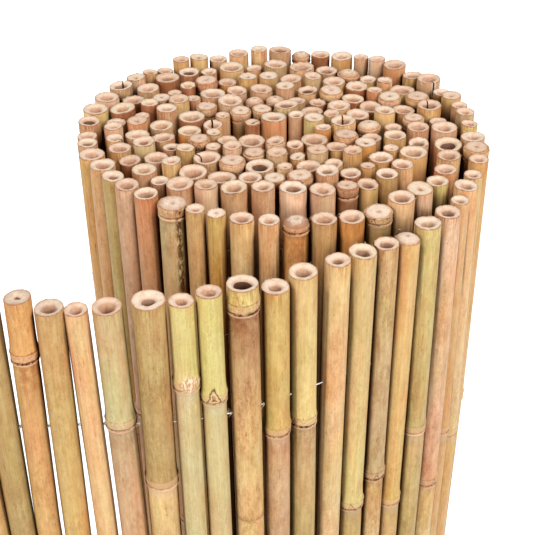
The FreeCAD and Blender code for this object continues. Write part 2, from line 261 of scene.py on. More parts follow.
# Swelling of the skin about a node: millimetres above its scar, millimetres out from the stem
NODE_SHAPE = (
    (-14, 0.0), (-9, -0.12), (-5, -0.12), (-2.7, 0.22), (-1.6, 0.82), (-0.9, 0.9), (-0.4, 0.2),
    (0.1, -0.08), (0.7, 0.55), (1.5, 0.78), (3.1, 0.74), (4.6, 0.92), (5.5, 1.08), (6.7, 0.62),
    (9.5, 0.24), (16, 0.0),
)
LIGHT_NODE_RINGS = (5.4, 1.0, 0.0, -0.9, -2.3)

# Marks of the skin. Each row is: one or two grains (per metre across and along the cane, where it
# starts and is full, detail, roughness), shift of the grain, strength on a cane without and with
# mottling, and factors of the colour.
SKIN_MARKS = (
    (((60, 16, 0.45, 0.68, 4, 0.6),), 0, 1, 1, (1.0, 0.88, 0.77)),
    (((45, 11, 0.5, 0.66, 4, 0.6),), 0, 0.7, 0.7, (0.93, 1.0, 0.84)),
    (((70, 13, 0.5, 0.66, 4, 0.6),), 0, 1, 1, (1.04, 0.90, 0.92)),
    (((120, 38, 0.48, 0.66, 5, 0.65),), 0, 0.25, 1, (0.82, 0.73, 0.66)),
    (((85, 26, 0.52, 0.6, 6, 0.75), (700, 260, 0.38, 0.6, 3, 0.7)), 0, 0, 1, (0.74, 0.62, 0.53)),
    (((300, 110, 0.42, 0.62, 4, 0.7),), 0, 0.35, 1, (0.86, 0.77, 0.70)),
    (((260, 90, 0.54, 0.7, 4, 0.7),), 0.37, 1, 1, (1.12, 1.11, 1.10)),
    (((900, 420, 0.45, 0.68, 4, 0.7), (40, 18, 0.44, 0.62, 3, 0.55)), 0, 1, 1, (0.86, 0.79, 0.73)),
    (((800, 330, 0.66, 0.72, 2, 0.55),), 0, 0.15, 1, (0.62, 0.48, 0.40)),
    (((900, 60, 0.70, 0.735, 2, 0.55),), 0, 0.6, 0.6, (0.50, 0.36, 0.28)),
    (((520, 300, 0.60, 0.70, 4, 0.7),), 0, 0.3, 0.3, (1.18, 1.18, 1.2)),
)

# Cut ends. Each row is: share of the way from the bore to the skin, depth below the cut in mm.
END_SHAPES = {
    "open": ((0.0, 2.6), (0.12, 1.3), (0.32, 0.5), (0.62, 0.1), (0.93, 0.0), (0.985, 0.12)),
    "pith": ((0.0, 1.8), (0.12, 1.0), (0.3, 0.45), (0.6, 0.12), (0.93, 0.0), (0.985, 0.12)),
    "closed": ((0.0, 0.35), (0.15, 0.2), (0.35, 0.08), (0.65, 0.0), (0.93, 0.05), (0.985, 0.2)),
    "domed": ((0.0, 0.1), (0.15, 0.12), (0.4, 0.35), (0.68, 1.0), (0.88, 2.1), (0.97, 3.1)),
}
END_BORES = {"pith": 0.17, "closed": 0.12, "domed": 0.1}
END_DEPTHS = {"pith": 2.6, "closed": 0.5, "domed": 0.3}


def linear(colour):
    """The scene's linear value of an sRGB colour."""
    return tuple(c / 12.92 if c <= 0.04045 else ((c + 0.055) / 1.055) ** 2.4 for c in colour)


class CaneSettings(bpy.types.PropertyGroup):
    node_rise: FloatProperty(
        name="Node Rise", description="How strongly the nodes swell, as a share of the usual",
        default=1.0)
    cut_tilt: FloatProperty(
        name="Cut Tilt", description="Steepest slant of a sawn cane end", default=math.radians(6),
        unit="ROTATION")
    bow: FloatProperty(
        name="Bow", description="Most that a cane bows out of straight", default=0.3 * MM,
        unit="LENGTH")
    roundness: FloatProperty(
        name="Out of Round", description="Share of its radius that a cane is out of round",
        default=0.014)


class FibreSettings(bpy.types.PropertyGroup):
    length: FloatProperty(
        name="Fibre Length", description="Longest torn fibre at a drilled hole", default=4.2 * MM,
        unit="LENGTH")
    thickness: FloatProperty(
        name="Fibre Thickness", description="Thickness of a torn fibre at its root",
        default=0.36 * MM, unit="LENGTH")
    colour: FloatVectorProperty(
        name="Fibre Colour", description="Colour of torn bamboo fibre", subtype="COLOR",
        default=linear((0.93, 0.84, 0.64)))


class WireSettings(bpy.types.PropertyGroup):
    colour: FloatVectorProperty(
        name="Zinc Colour", description="Colour of the galvanised wire", subtype="COLOR",
        default=linear((0.90, 0.90, 0.90)))


class StageSettings(bpy.types.PropertyGroup):
    key_power: FloatProperty(
        name="Key Power", description="Power of the soft lamp on the right", default=46.0,
        unit="POWER")
    fill_power: FloatProperty(
        name="Fill Power", description="Power of the soft lamp on the left", default=36.0,
        unit="POWER")
    back_power: FloatProperty(
        name="Back Power", description="Power of the soft lamp behind", default=26.0, unit="POWER")
    sky_strength: FloatProperty(
        name="Sky Strength", description="Strength of the even light from all round", default=0.49)
    backdrop: FloatVectorProperty(
        name="Backdrop", description="Colour behind and below the panel", subtype="COLOR",
        default=(1.0, 1.0, 1.0))


def column(items, key, width=1, kind=np.float32):
    """One property of all the items of a mesh, as an array."""
    values = np.empty(len(items) * width, kind)
    items.foreach_get(key, values)
    return values.reshape(-1, width) if width > 1 else values


def heading(angle):
    return Vector((math.cos(angle), math.sin(angle), 0))


def angle_between(first, second):
    return abs(np.angle(np.exp(1j * (first - second))))


def add_object(name, data):
    made = bpy.data.objects.new(name, data)
    bpy.context.scene.collection.objects.link(made)
    return made


# Canes as the frame gives them

def node_points(node):
    mesh = frame["nodes"][node].data
    corners = column(mesh.loops, "vertex_index", kind=np.int32)
    return column(mesh.vertices, "co", 3).astype(float), corners.reshape(-1, 3)


def foot_outlines(points, triangles):
    """The flat rings that the canes of a node stand on, each as an array of points."""
    flat = triangles[(points[triangles][:, :, 2] < 0.01 * MM).all(axis=1)]
    owner = {}

    def root(key):
        while owner.setdefault(key, key) != key:
            key = owner[key]
        return key

    for triangle in flat:
        keys = [tuple(np.round(points[i, :2] / (0.01 * MM)).astype(int)) for i in triangle]
        for key in keys[1:]:
            owner[root(key)] = root(keys[0])
    rings = {}
    for key in list(owner):
        rings.setdefault(root(key), []).append(key)
    return [np.array(ring) * 0.01 * MM for ring in rings.values()]


def group_middles(heights):
    """Middles of the groups that the heights fall into, from the top down."""
    groups = []
    for height in sorted(heights, reverse=True):
        if not groups or groups[-1][-1] - height > 4 * MM:
            groups.append([])
        groups[-1].append(height)
    return [(group[0] + group[-1]) / 2 for group in groups]


def read_canes(node):
    """Place, sizes and node heights of each cane of a node."""
    points, triangles = node_points(node)
    canes = []
    for ring in foot_outlines(points, triangles):
        middle = (ring.min(axis=0) + ring.max(axis=0)) / 2
        radius = (ring[:, 0].max() - ring[:, 0].min()) / 2
        bore = np.hypot(*(ring - middle).T).min()
        away = np.hypot(points[:, 0] - middle[0], points[:, 1] - middle[1])
        mine = points[away < radius + 0.6 * MM]
        away = away[away < radius + 0.6 * MM]
        heights = mine[:, 2]
        ridges = group_middles(heights[away > radius + 0.45 * MM])
        inside = heights[away < bore + 0.02 * MM]
        half = heights.max() / 2
        drilled = (away > radius - 0.3 * MM) & (abs(heights - WIRE_LEVEL) < 1.2 * MM)
        holes = mine[drilled] - [*middle, 0]
        turn = 2 * np.arctan2(holes[:, 1], holes[:, 0])
        cut = CUTS.get(node, 0) * MM
        canes.append(SimpleNamespace(
            x=middle[0], y=middle[1], radius=radius, bore=bore, nodes=ridges,
            top=heights.max() + cut, floor=inside[inside > half].min() + cut,
            ceiling=inside[inside < half].max(), lean=LEANS.get(node, (0, 0)),
            wire=math.atan2(np.sin(turn).mean(), np.cos(turn).mean()) / 2))
    canes.sort(key=lambda cane: (round(cane.y, 4), round(cane.x, 4)))
    for number, cane in enumerate(canes, 1):
        cane.name = node if len(canes) == 1 else f"{node[:-1]}_{number:02d}"
        cane.rng = random.Random(f"{node} {number}")
    return canes


def is_near(cane, x, y):
    return math.hypot(cane.x / MM - x, cane.y / MM - y) < 4


def cane_look(cane, node):
    """Colours, stains, end, bud scars and marks of one cane."""
    rng = cane.rng
    tables = {"tail_cane": TAIL_LOOKS, "outer_turn_cane": OUTER_LOOKS}
    prefix, _, number = node.rpartition("_")
    if prefix in tables:
        row = (*tables[prefix][int(number) - 1], "open")[:7]
    else:
        first, second = rng.choices(SKIN_PAIRS, PAIR_WEIGHTS, k=2)
        end = "open"
        if cane.top - cane.floor < 9 * MM:
            end = rng.choice(("closed", "domed", "closed", "closed"))
        elif cane.bore < 1.8 * MM:
            end = "pith"
        row = (*first, *second, rng.uniform(0.1, 0.9), rng.uniform(0.1, 0.8), end)
    keys = ("skins", "stain", "mottle", "end")
    look = dict(zip(keys, (row[:4], *row[4:])))
    look["cut_shade"] = rng.choice(CUT_SHADES)
    look["node_rise"] = bpy.context.scene.cane_settings.node_rise * rng.uniform(0.7, 1.2)
    look["bore_shade"] = rng.choice(BORE_SHADES)
    front = math.atan2(VIEWPOINT[1] - cane.y, VIEWPOINT[0] - cane.x)
    look["slit"] = None
    look["buds"] = []
    for _ in cane.nodes:
        look["buds"].append((rng.uniform(0, math.tau), rng.choice((0.0, 0.4, 0.8, -0.5)), 1.0))
    for x, y, degrees in SPLITS:
        if is_near(cane, x, y):
            look["slit"] = math.radians(degrees)
    for key, value, places in SPOTS:
        if any(is_near(cane, x, y) for x, y in places):
            look[key] = value
    look["crust"] = rng.uniform(0.2, 0.7) if look["end"] == "domed" else 0.0
    degrees, length = STREAKS.get(node, (0, 0))
    look["streak"] = (front + math.radians(degrees), length)
    if node in ENDS:
        look["bore_shade"], paleness, look["crust"] = ENDS[node]
        look["cut_shade"] = (paleness, paleness, paleness)
    if node in BUDS:
        degrees, darkness, size = BUDS[node]
        look["buds"][0] = (front + math.radians(degrees), darkness, size)
    return look


# Rings of a cane: from the top diaphragm up the bore, over the cut end, down the skin, over the
# foot and up its bore. Each ring is: part, height, radius, share across the cut end.

def end_sizes(cane):
    """Radius and depth of the hollow at the top of a cane."""
    bore = cane.radius * END_BORES[cane.end] if cane.end in END_BORES else cane.bore
    depth = cane.top - cane.floor
    if cane.end in END_DEPTHS:
        depth = END_DEPTHS[cane.end] * MM
    return bore, depth


def node_swell(height, cane):
    nearest = min(cane.nodes, key=lambda node: abs(node - height))
    above, out = zip(*NODE_SHAPE)
    return np.interp((height - nearest) / MM, above, out) * MM * cane.node_rise


def cane_rings(cane, light):
    top, radius = cane.top, cane.radius
    bore, depth = end_sizes(cane)
    rings = [("bore", top - depth, bore * 0.97, 0), ("bore", top - 0.55 * depth, bore, 0)]
    shape = END_SHAPES[cane.end]
    for row, (share, sunk) in enumerate(shape):
        sunk = min(sunk * MM, 0.5 * depth) if share == 0 else sunk * MM
        part = "bore" if row == 0 else "cut"
        if not (light and row == 3):
            rings.append((part, top - sunk, bore + share * (radius - bore), share))
    edge = shape[-1][1] * MM
    rings.append(("skin", top - edge - 0.35 * MM, radius, 1))
    below = top - edge - 1.3 * MM
    nodes = cane.nodes
    offsets = LIGHT_NODE_RINGS if light else [above for above, _ in reversed(NODE_SHAPE)]
    for node, after in zip(nodes, nodes[1:] + [0]):
        for offset in offsets:
            below = min(node + offset * MM, below)
            rings.append(("skin", below, radius + node_swell(below, cane), 1))
            below -= RING_STEP
        rows = STEM_ROWS[light]
        span = below - (after + offsets[0] * MM if after else 2 * MM)
        start = below
        for row in range(1, rows + 1):
            below = start - span * row / (rows + 1)
            rings.append(("skin", below, radius, 1))
    foot_bore = cane.bore
    wall = radius - foot_bore
    rings.append(("skin", 0.5 * MM, radius, 1))
    rings.append(("cut", 0.1 * MM, radius - 0.1 * MM, 0.98))
    rings.append(("cut", 0, radius - 0.3 * MM, 0.9))
    rings.append(("cut", 0.1 * MM, foot_bore + 0.3 * wall, 0.3))
    rings.append(("bore", 1.2 * MM, foot_bore, 0))
    rings.append(("bore", cane.ceiling, foot_bore, 0))
    return rings


def split_top(cane, light):
    """The rings of a cane with the stretch above the first node divided."""
    rings = cane_rings(cane, light)
    first = next(i for i, ring in enumerate(rings) if ring[0] == "skin")
    high, low = rings[first][1], rings[first + 1][1]
    rows = TOP_ROWS[light]
    extra = []
    for row in range(1, rows + 1):
        height = high + (low - high) * (row / (rows + 1)) ** 1.5
        extra.append(("skin", height, cane.radius + node_swell(height, cane), 1))
    return rings[:first + 1] + extra + rings[first + 1:]


# The pattern cane: turned up ring by ring in edit mode, then copied and fitted for each cane

def deselect_all():
    for item in bpy.context.selected_objects:
        item.select_set(False)


def step_ring(last, ring):
    """Extrude the end face of the cane being made to its next ring."""
    rise = ring[1] - last[1]
    bpy.ops.mesh.extrude_region_move(TRANSFORM_OT_translate={"value": (0, 0, rise)})
    grow = ring[2] / last[2]
    if abs(grow - 1) > 1e-6:
        bpy.ops.transform.resize(value=(grow, grow, 1), center_override=(0, 0, ring[1]))


def model_pattern(name, sample, light):
    """One cane, made from a disc at its top diaphragm."""
    rings = split_top(sample, light)
    deselect_all()
    bpy.ops.mesh.primitive_circle_add(
        vertices=SIDES[light], radius=rings[0][2], fill_type="NGON", location=(0, 0, rings[0][1]))
    cane = bpy.context.object
    cane.name = name
    bpy.ops.object.mode_set(mode="EDIT")
    bpy.ops.mesh.select_all(action="SELECT")
    for last, ring in zip(rings, rings[1:]):
        step_ring(last, ring)
    bpy.ops.mesh.select_all(action="SELECT")
    bpy.ops.mesh.normals_make_consistent(inside=False)
    bpy.ops.object.mode_set(mode="OBJECT")
    bpy.ops.object.transform_apply()
    bpy.ops.object.shade_smooth_by_angle(angle=SMOOTH_ANGLE)
    find_rings(cane, rings)


def note(mesh, name, kind, key, values):
    """A named attribute with a value for each vertex."""
    layer = mesh.attributes.new(name, kind, "POINT")
    layer.data.foreach_set(key, values.astype(np.int32 if kind == "INT" else np.float32).ravel())


def find_rings(cane, rings):
    """Note on the pattern which ring each vertex is on, and give each face its finish."""
    mesh = cane.data
    points = column(mesh.vertices, "co", 3)
    places = np.array([(ring[1], ring[2]) for ring in rings])
    out = np.hypot(points[:, 0], points[:, 1])
    misses = abs(points[:, 2, None] - places[:, 0]) + abs(out[:, None] - places[:, 1])
    numbers = misses.argmin(axis=1)
    note(mesh, "ring", "INT", "value", numbers)
    note(mesh, "angle", "FLOAT", "value", np.arctan2(points[:, 1], points[:, 0]))
    for finish in ("bamboo_skin", "bamboo_cut_end", "bamboo_bore"):
        mesh.materials.append(bpy.data.materials[finish])
    parts = [ring[0] for ring in rings]
    first_skin = parts.index("skin")
    for face in mesh.polygons:
        ends = {int(numbers[i]) for i in face.vertices}
        kinds = {parts[i] for i in ends}
        foot_edge = kinds == {"skin", "cut"} and min(ends) > first_skin
        if len(ends) == 1 or kinds == {"bore"}:
            face.material_index = 2
        elif kinds == {"skin"} or foot_edge:
            face.material_index = 0
        else:
            face.material_index = 1


def pattern_arrays(pattern):
    """The ring and the angle of each vertex of a pattern."""
    layers = pattern.data.attributes
    numbers = column(layers["ring"].data, "value", kind=np.int32)
    return numbers, column(layers["angle"].data, "value").astype(float)


def lobes(rng, counts, sizes):
    """A gentle function of angle, with so many lobes of such sizes."""
    phases = [rng.uniform(0, math.tau) for _ in counts]

    def value(angle):
        return sum(size * np.cos(count * angle + phase)
                   for count, size, phase in zip(counts, sizes, phases))
    return value


def fitted_points(cane, rings, numbers, angles):
    """The pattern's vertices moved to one cane's place, sizes and unevenness."""
    settings = bpy.context.scene.cane_settings
    rng = cane.rng
    parts, heights, radii, shares = (np.array(values)[numbers] for values in zip(*rings))
    skin = parts == "skin"
    oval = settings.roundness
    stem = 1 + lobes(rng, (2, 3), (rng.uniform(0.3, 1) * oval, 0.4 * oval))(angles)
    rough = 0.2 if cane.end == "pith" else 0.06
    mouth = 1 + lobes(rng, (2, 3, 5), (rough, 0.5 * rough, 0.5 * rough))(angles)
    out = radii * (stem * shares + mouth * (1 - shares))
    below_cut = np.clip((cane.top - heights) / (6 * MM), 0, 1)
    shifts = np.zeros(len(angles))
    for node, (bud, _, _) in zip(cane.nodes, cane.buds):
        turned = angle_between(angles, bud)
        lift = (heights - node) / MM
        groove = np.exp(-(turned / 0.45) ** 2)
        groove *= np.clip(lift / 4, 0, 1) * np.clip(1 - lift / 60, 0, 1)
        out -= np.where(skin, groove * 0.18 * MM, 0)
        swell = rng.uniform(-0.25, 0.35) + 0.3 * np.cos(turned)
        near = np.exp(-((lift - 4) / 5) ** 2)
        out += np.where(skin, swell * near * 0.35 * MM * below_cut, 0)
        wave = np.cos(turned) * 0.8 + lobes(rng, (2, 3), (0.3, 0.25))(angles)
        near = np.exp(-(lift / 4.5) ** 2) + 0.25 * np.exp(-((lift - 5) / 4) ** 2)
        shifts += np.where(skin, wave * near * below_cut * rng.uniform(0.35, 0.9) * MM, 0)
    heights = heights + shifts
    slant = math.tan(rng.uniform(0.1, 1) ** 1.5 * settings.cut_tilt)
    towards = rng.uniform(0, math.tau)
    high = np.clip(1 - (cane.top - heights) / (12 * MM), 0, 1)
    heights = heights + slant * (out * np.cos(angles - towards) - cane.radius) * high
    edge = (shares > 0.9) & (cane.top - heights < 2 * MM)
    ragged = rng.choice((0.1, 0.16, 0.25, 0.38)) * MM
    jitter = np.array([rng.gauss(0, 1) for _ in range(len(angles))]) * ragged
    heights = np.where(edge, np.minimum(heights + jitter, cane.top), heights)
    bow = settings.bow * np.sin(math.pi * heights / cane.top) * rng.uniform(-1, 1)
    lean = rng.uniform(0, math.tau)
    top_lean, low_lean = cane.lean
    leans = (0, LOW_LEAN_SHARE * low_lean, low_lean, top_lean)
    along = np.interp(heights, LEAN_HEIGHTS, leans) * MM
    x = cane.x + out * np.cos(angles) + bow * math.cos(lean) + along
    y = cane.y + out * np.sin(angles) + bow * math.sin(lean)
    return np.stack([x, y, np.maximum(heights, 0)], axis=1), shares


def skin_tints(cane, heights):
    """Linear colour of the skin at each height: it changes along each stretch between nodes."""
    rng = cane.rng
    colours = [np.array(linear(SKINS[name])) for name in cane.skins]
    stops = [cane.top] + cane.nodes + [0.0]
    tints = np.zeros((len(heights), 3))
    for number, (high, low) in enumerate(zip(stops, stops[1:])):
        first, last = (colours[0], colours[1]) if number == 0 else (colours[2], colours[3])
        if number > 1:
            first, last = rng.sample(colours, 2)
        inside = (heights < high + 0.05 * MM) & (heights >= low - 0.05 * MM)
        if number == 0:
            inside = heights >= low - 0.05 * MM
        reach = high - low if number == 0 else min(high - low, TINT_REACH)
        share = np.clip((high - heights[inside]) / reach, 0, 1)[:, None]
        tints[inside] = first + (last - first) * share
    return tints * rng.uniform(0.94, 1.05)


def painted_crevice_shade(cane, points):
    """How far the canes around close each point in: the share of painted shade between canes."""
    reach = SHOWN_SHADE_REACH if cane.name.startswith(SHOWN) else HIDDEN_SHADE_REACH
    others = np.array([
        (other.x, other.y, other.radius, other.top)
        for canes in CANES.values() for other in canes if other is not cane
        and math.hypot(other.x - cane.x, other.y - cane.y) < reach]).T
    across, along = others[0] - points[:, :1], others[1] - points[:, 1:2]
    apart = np.maximum(np.hypot(across, along), others[2] + 0.3 * MM)
    half = np.arcsin(others[2] / apart)
    towards = np.arctan2(along, across)
    rise = np.clip(others[3] - points[:, 2:], 0, None)
    hidden = rise / np.hypot(rise, apart - others[2])
    out = np.arctan2(points[:, 1] - cane.y, points[:, 0] - cane.x)[:, None]
    crevice_shade, total = np.zeros(len(points)), 0
    for turn in SHADE_TURNS:
        away = angle_between(out + turn, towards)
        crevice_shade += math.cos(turn) * np.where(away < half, hidden, 0).max(axis=1)
        total += math.cos(turn)
    return crevice_shade / total


def note_look(mesh, cane, points, shares, angles):
    """Attributes that the finishes read: tint, distances and the cane's own character."""
    heights = points[:, 2]
    node_list = np.array(cane.nodes)
    closest = abs(heights[:, None] - node_list).argmin(axis=1)
    nearest = node_list[closest]
    bud_angles, bud_marks, bud_sizes = (np.array(values)[closest] for values in zip(*cane.buds))
    from_bud = angle_between(angles, bud_angles) * cane.radius
    across, along = points[:, 0] - cane.x, points[:, 1] - cane.y
    side = math.cos(cane.wire) * along - math.sin(cane.wire) * across
    below_cut = cane.top - heights
    from_cut = np.minimum(abs(below_cut), heights)
    streak_angle, streak_length = cane.streak
    from_streak = angle_between(angles, streak_angle) * cane.radius / MM
    streak = np.clip(1.4 - from_streak / 2.4, 0, 1) * (below_cut < streak_length * MM)
    count = len(heights)
    colours = {
        "skin_tint": skin_tints(cane, heights), "cut_tint": np.tile(cane.cut_shade, (count, 1)),
    }
    for name, values in colours.items():
        note(mesh, name, "FLOAT_COLOR", "color", np.c_[values, np.ones(count)])
    vectors = {
        "distances": np.c_[(heights - nearest) / MM, from_cut / MM, side / MM],
        "character": np.c_[
            np.tile((cane.stain, cane.mottle), (count, 1)),
            np.where(shares < 1, cane.bore_shade, streak)],
        # cut_share: share across the cut end, painted shade between the canes, and the crust
        "cut_share": np.c_[shares, painted_crevice_shade(cane, points), np.full(count, cane.crust)],
        "bud": np.c_[from_bud / MM, bud_marks, bud_sizes],
    }
    for name, values in vectors.items():
        note(mesh, name, "FLOAT_VECTOR", "vector", values)


def string_cane(cane, light):
    """A copy of the pattern, fitted to one cane, with a mesh of its own."""
    pattern = bpy.data.objects["light_pattern" if light else "fine_pattern"]
    rings = split_top(cane, light)
    numbers, angles = pattern_arrays(pattern)
    points, shares = fitted_points(cane, rings, numbers, angles)
    mesh = pattern.data.copy()
    mesh.name = cane.name + "_skin"
    mesh.vertices.foreach_set("co", points.astype(np.float32).ravel())
    for name in ("ring", "angle"):
        mesh.attributes.remove(mesh.attributes[name])
    note_look(mesh, cane, points, shares, angles)
    mesh.update()
    piece = add_object(cane.name + "_skin", mesh)
    if cane.slit is not None:
        slit_top(piece, cane)
    return piece


def slit_top(piece, cane):
    """Cut a narrow crack through one side of a cane, down from its cut end."""
    rng = cane.rng
    deselect_all()
    length = cane.radius + 3 * MM
    depth = rng.uniform(7, 13) * MM
    middle = Vector((cane.x, cane.y, cane.top)) + heading(cane.slit) * (length / 2)
    bpy.ops.mesh.primitive_cube_add(size=1, location=middle, rotation=(0, 0, cane.slit))
    blade = bpy.context.object
    blade.scale = (length, rng.uniform(0.9, 1.4) * MM, 2 * depth)
    bpy.ops.object.transform_apply()
    blade.data.materials.append(bpy.data.materials["bamboo_bore"])
    crack = piece.modifiers.new("crack", "BOOLEAN")
    crack.operation = "DIFFERENCE"
    crack.solver = "EXACT"
    crack.object = blade
    bpy.context.view_layer.objects.active = piece
    bpy.ops.object.modifier_apply(modifier="crack")
    bpy.data.objects.remove(blade)


def settle_piece(piece, node):
    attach(piece, "root")
    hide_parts(node)


def string_singles(prefix):
    """The canes of the nodes of one kind, each its own piece."""
    for node, canes in CANES.items():
        if node.startswith(prefix):
            for cane in canes:
                settle_piece(string_cane(cane, False), node)


def string_hidden_turns():
    """The canes inside the roll, each turn joined into one piece."""
    for node, canes in CANES.items():
        if not node.startswith(SHOWN):
            made = [string_cane(cane, True) for cane in canes]
            settle_piece(join_pieces(made, f"{node}_skin"), node)


# Torn fibres: one small tuft, copied to both sides of each drilled hole of the canes in front

def model_tuft():
    settings = bpy.context.scene.fibre_settings
    rng = random.Random(TUFT_SEED)
    deselect_all()
    made = []
    for _ in range(TUFT_FIBRES):
        length = settings.length * rng.uniform(0.35, 1)
        bpy.ops.mesh.primitive_cone_add(
            vertices=3, radius1=settings.thickness / 2, radius2=FIBRE_TIP, depth=length,
            end_fill_type="NOTHING")
        fibre = bpy.context.object
        bpy.ops.object.mode_set(mode="EDIT")
        bpy.ops.mesh.select_all(action="SELECT")
        bpy.ops.transform.translate(value=(0, 0, length / 2))
        bpy.ops.object.mode_set(mode="OBJECT")
        fibre.rotation_euler = (rng.uniform(-1.1, 1.1), rng.uniform(-1.1, 1.1), 0)
        fibre.location = (rng.uniform(-0.7, 0.7) * MM, rng.uniform(-0.7, 0.7) * MM, -0.2 * MM)
        made.append(fibre)
    join_pieces(made, "tuft_pattern")
    bpy.ops.object.transform_apply()
    tuft = bpy.context.object
    tuft.data.materials.append(bpy.data.materials["torn_fibre"])
    return tuft


def join_pieces(pieces, name):
    deselect_all()
    for piece in pieces:
        piece.select_set(True)
    bpy.context.view_layer.objects.active = pieces[0]
    bpy.ops.object.join()
    pieces[0].name = name
    return pieces[0]


def place_tuft(tuft, origin, towards, scale):
    mesh = tuft.data.copy()
    turn = towards.to_track_quat("Z", "Y").to_matrix().to_4x4()
    mesh.transform(Matrix.Translation(origin) @ turn @ Matrix.Scale(scale, 4))
    return add_object("tuft", mesh)


def tear_fibres():
    """Tufts at the holes in the canes of the tail and the front, and on a few ragged rims."""
    tuft = model_tuft()
    rng = random.Random(FRAY_SEED)
    made = []
    for node, canes in CANES.items():
        if not node.startswith(("tail_cane", "outer_turn_cane")):
            continue
        cane = canes[0]
        low_lean = LOW_LEAN_SHARE * cane.lean[1]
        for level in range(len(WIRES)):
            height = WIRE_LEVEL - level * WIRE_SPACING
            for side in (0, math.pi):
                if rng.random() < TUFT_CHANCE:
                    towards = heading(cane.wire + side)
                    origin = Vector((cane.x, cane.y, height)) + towards * cane.radius
                    leans = (low_lean, *reversed(cane.lean))
                    origin.x += np.interp(height, LEAN_HEIGHTS[1:], leans) * MM
                    made.append(place_tuft(tuft, origin, towards, rng.uniform(0.9, 2.0)))
    for node, canes in CANES.items():
        for cane in canes:
            count = FRAYED_TUFTS if cane.name in FRAYED else rng.choice(USUAL_TUFTS)
            for _ in range(count):
                rim = heading(rng.uniform(0, math.tau))
                x = cane.x + cane.lean[0] * MM
                origin = Vector((x, cane.y, cane.top - 0.5 * MM))
                origin += rim * cane.radius * 0.97
                towards = rim * rng.uniform(0.3, 1.2) + Vector((0, 0, rng.uniform(-0.6, 0.5)))
                made.append(place_tuft(tuft, origin, towards, rng.uniform(0.3, 0.7)))
    fibres = join_pieces(made, "torn_fibres")
    bpy.data.objects.remove(tuft)
    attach(fibres, "root")


# Finishes

class Recipe:
    """A material or a world, and the nodes that feed its shader."""

    def __init__(self, name, kind="materials", shader="Principled BSDF"):
        self.owner = getattr(bpy.data, kind).new(name)
        self.owner.use_nodes = True
        self.tree = self.owner.node_tree
        self.shader = self.tree.nodes[shader]
        self.place = self.node("ShaderNodeTexCoord").outputs["Object"]
        self.colour = None

    def node(self, kind, inputs=(), **settings):
        """A node with its settings, and what goes in by the name or number of each input."""
        node = self.tree.nodes.new(kind)
        for name, value in settings.items():
            setattr(node, name, value)
        for key, value in dict(inputs).items():
            self.feed(node.inputs[key], value)
        return node

    def feed(self, socket, value):
        if isinstance(value, bpy.types.NodeSocket):
            self.tree.links.new(value, socket)
        else:
            socket.default_value = value

    def shade(self, **inputs):
        """Feed the shader's inputs, named with _ for the spaces in their names."""
        for name, value in inputs.items():
            self.feed(self.shader.inputs[name.replace("_", " ")], value)

    def maths(self, operation, first, second=0.0, clamp=False):
        settings = {"operation": operation, "use_clamp": clamp}
        return self.node("ShaderNodeMath", {0: first, 1: second}, **settings).outputs[0]

    def times(self, first, second, clamp=False):
        return self.maths("MULTIPLY", first, second, clamp)

    def plus(self, first, second):
        return self.maths("ADD", first, second)

    def minus(self, first, second, clamp=False):
        return self.maths("SUBTRACT", first, second, clamp)

    def spread(self, value, low, high, to_low=0.0, to_high=1.0):
        """value from low to high, taken to another range and held at its ends."""
        inputs = enumerate((value, low, high, to_low, to_high))
        return self.node("ShaderNodeMapRange", inputs, clamp=True).outputs[0]

    def hump(self, value, middle, half):
        """1 where value is at the middle, down to 0 at half either side of it."""
        away = self.maths("ABSOLUTE", self.minus(value, middle))
        return self.spread(away, 0.0, half, 1.0, 0.0)

    def grain(self, scale, detail=2.0, rough=0.55, place=None):
        """Noise with its own scale along each axis, per metre."""
        scaled = self.node("ShaderNodeMapping", {"Vector": place or self.place, "Scale": scale})
        return self.node("ShaderNodeTexNoise", {
            "Vector": scaled.outputs[0], "Scale": 1.0, "Detail": detail, "Roughness": rough,
        }).outputs["Fac"]

    def patches(self, scale, low, high, detail=2.0, rough=0.55, place=None):
        """Noise that is 0 up to low and 1 from high."""
        return self.spread(self.grain(scale, detail, rough, place), low, high)

    def wobble(self, scale, detail, size):
        """Noise about zero."""
        return self.times(self.minus(self.grain(scale, detail), 0.5), size)

    def band(self, value, start, full, full_end, end):
        """0 below start, 1 from full to full_end, 0 above end."""
        rise = self.spread(value, start, full)
        return self.times(rise, self.spread(value, full_end, end, 1.0, 0.0))

    def shifted(self, distance):
        """The place moved along all axes, so that a second grain differs from the first."""
        inputs = {"Vector": self.place, "Location": (distance, distance, distance)}
        return self.node("ShaderNodeMapping", inputs).outputs[0]

    def mix(self, share, first, second, blend="MIX"):
        inputs = {0: share, 6: first, 7: second}
        for key, value in inputs.items():
            if isinstance(value, tuple):
                inputs[key] = (*value, 1.0)
        return self.node("ShaderNodeMix", inputs, data_type="RGBA", blend_type=blend).outputs[2]

    def paint(self, share, paint):
        """Lay an sRGB paint over the colour so far, by share."""
        self.colour = self.mix(share, self.colour, linear(paint))

    def tint(self, share, factors):
        """Take the colour so far times factors, by share."""
        tinted = self.mix(1.0, self.colour, factors, "MULTIPLY")
        self.colour = self.mix(share, self.colour, tinted)

    def seen(self):
        """1 where the camera sees this itself or in a reflection, and 0 for its light."""
        path = self.node("ShaderNodeLightPath").outputs
        return self.maths("MAXIMUM", path["Is Camera Ray"], path["Is Glossy Ray"])

    def noted(self, name):
        return self.node("ShaderNodeAttribute", attribute_name=name).outputs

    def parts(self, name):
        return self.node("ShaderNodeSeparateXYZ", {0: self.noted(name)["Vector"]}).outputs

    def ramp(self, value, stops):
        node = self.node("ShaderNodeValToRGB", {0: value})
        while len(node.color_ramp.elements) < len(stops):
            node.color_ramp.elements.new(0.5)
        for element, (position, colour) in zip(node.color_ramp.elements, stops):
            element.position = position
            element.color = (*linear(colour), 1.0)
        return node.outputs[0]

    def bump(self, height, depth, strength=1.0):
        inputs = {"Strength": strength, "Distance": depth, "Height": height}
        self.shade(Normal=self.node("ShaderNodeBump", inputs).outputs[0])


